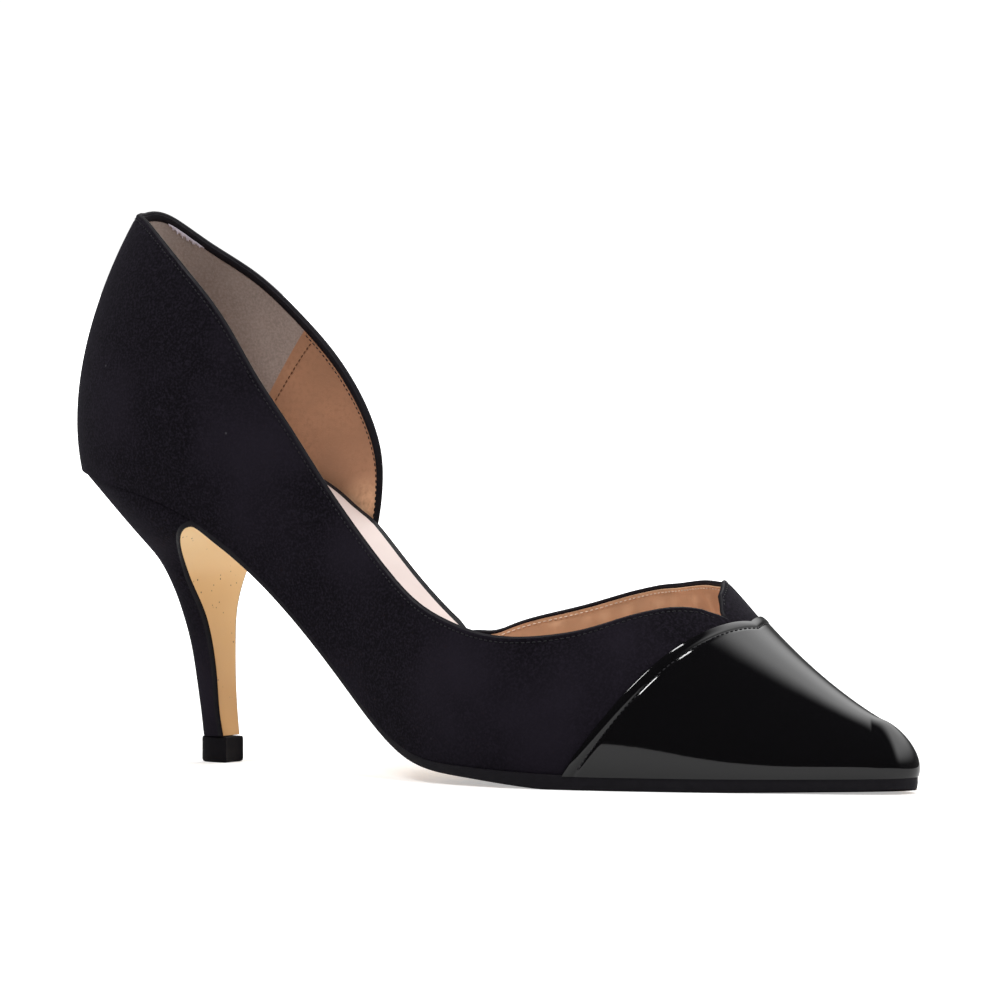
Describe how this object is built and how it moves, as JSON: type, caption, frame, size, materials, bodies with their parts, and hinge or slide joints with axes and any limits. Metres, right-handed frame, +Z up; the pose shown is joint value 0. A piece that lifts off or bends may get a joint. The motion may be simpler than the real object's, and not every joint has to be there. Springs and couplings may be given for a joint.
{
  "type": "heeled shoe",
  "caption": "Pointed pump for the right foot with a slim high heel, a glossy toe cap over a matt suede upper, and the inner side cut away at the waist.",
  "frame": {"origin": "middle of the shoe's box, on the floor", "axes": "+X to the toe, +Y to the inner side of the foot, +Z up"},
  "size_m": [0.2355, 0.0738, 0.1357],
  "materials": {
    "suede": "black suede, matt with a soft nap",
    "patent": "black patent leather, mirror gloss",
    "sock": "pale pink smooth leather, satin",
    "sole_leather": "tan sole leather, polished",
    "tip": "black, satin",
    "lining": "tan lining leather, smooth",
    "heel_grip": "grey suede, matt",
    "edge": "black leather, satin",
    "thread": "black thread"
  },
  "bodies": {
    "root": {"upper": "suede", "toe_cap": "patent", "insole": "sock", "outsole": "sole_leather", "heel": "suede", "heel_tip": "tip"}
  },
  "joints": []
}
